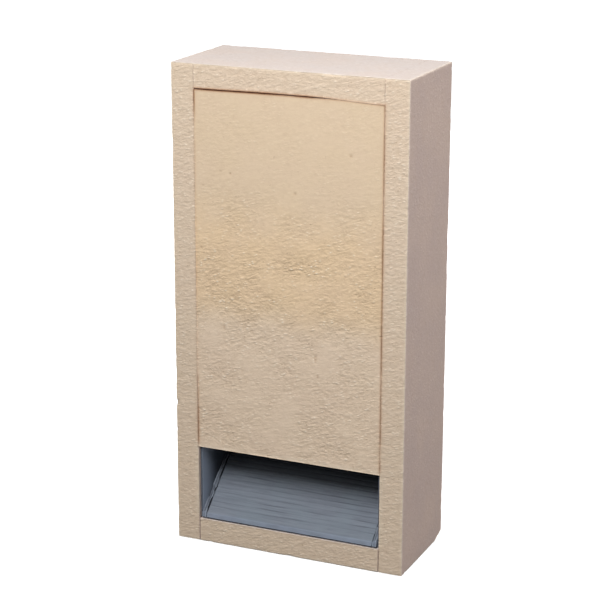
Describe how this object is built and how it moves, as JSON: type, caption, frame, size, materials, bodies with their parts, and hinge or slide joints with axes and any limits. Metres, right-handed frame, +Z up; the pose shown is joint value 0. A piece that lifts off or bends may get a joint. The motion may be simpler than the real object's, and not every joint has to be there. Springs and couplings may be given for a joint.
{
  "type": "bat box",
  "caption": "Upright build-in bat box of insulating boards, with a flush push-fit front panel, an open mouth below it and a grooved ramp that climbs into a divided roost.",
  "frame": {"origin": "centre of the underside", "axes": "+Z up; the mouth and the front panel face -Y; +X is to the right as seen from the front"},
  "size_m": [0.22, 0.102, 0.44],
  "materials": {
    "insulating_board": "matt, finely pitted and mottled, light insulating board",
    "panel_board": "matt, orange-peel skin with a faint orange band, light insulating board",
    "stained_ply": "matt blue-grey stain on rough-sawn plywood and battens",
    "screw_zinc": "bright zinc plate"
  },
  "bodies": {
    "box": {"left_side_board": "insulating_board", "right_side_board": "insulating_board", "top_board": "insulating_board", "bottom_board": "insulating_board", "back_board": "insulating_board", "left_side_lining": "stained_ply", "right_side_lining": "stained_ply", "back_lining": "stained_ply", "ramp_board": "stained_ply", "left_ramp_strip": "stained_ply", "right_ramp_strip": "stained_ply", "ramp_rest": "stained_ply", "roost_partition": "stained_ply", "left_front_spacer": "stained_ply", "left_rear_spacer": "stained_ply", "right_front_spacer": "stained_ply", "right_rear_spacer": "stained_ply", "lower_left_screw": "screw_zinc", "lower_right_screw": "screw_zinc", "upper_left_screw": "screw_zinc", "upper_right_screw": "screw_zinc"},
    "panel": {"front_panel": "panel_board", "panel_lining": "stained_ply"}
  },
  "joints": [
    {"name": "panel_pull", "type": "slide", "parent": "box", "child": "panel", "axis": [0, -1, 0], "range_m": [0, 0.03]}
  ]
}
